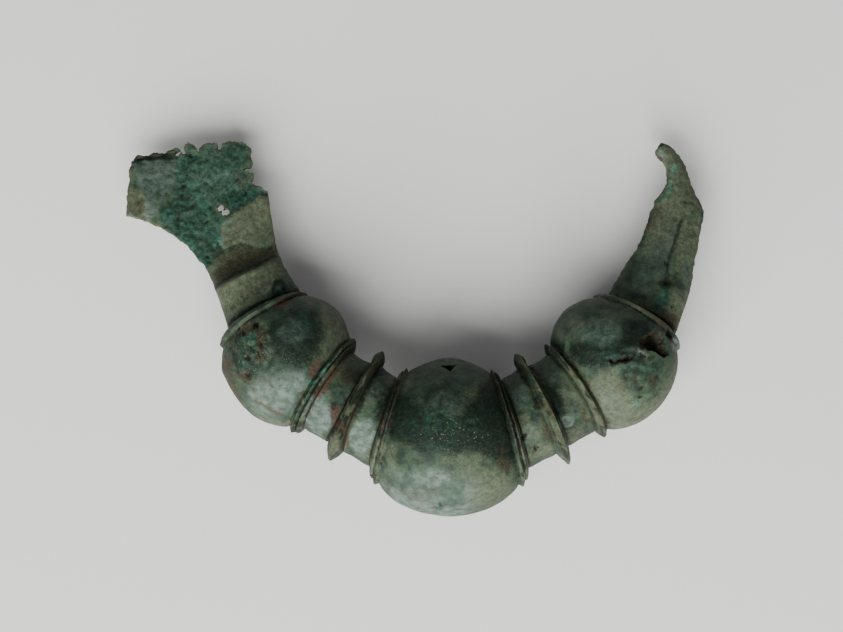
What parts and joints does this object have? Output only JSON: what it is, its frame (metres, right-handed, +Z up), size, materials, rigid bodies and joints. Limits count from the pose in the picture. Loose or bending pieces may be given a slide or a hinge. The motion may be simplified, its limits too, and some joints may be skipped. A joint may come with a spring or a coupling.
{
  "type": "fibula brooch",
  "caption": "Broken bow of a cast bronze fibula: globular beads between disc collars, a torn flat catch plate at one end and a ridged torn arm at the other.",
  "frame": {"origin": "centre of the part's box in plan, on the surface that the brooch lies on", "axes": "+X across the bow from the catch plate to the ridged arm, +Y from the middle bead towards the two broken ends, +Z up from the surface"},
  "size_m": [0.1094, 0.0712, 0.0292],
  "materials": {
    "patinated_bronze": "cast bronze with a matt to waxy green, olive and brown patina"
  },
  "bodies": {
    "root": {"fibula_bow": "patinated_bronze"}
  },
  "joints": []
}
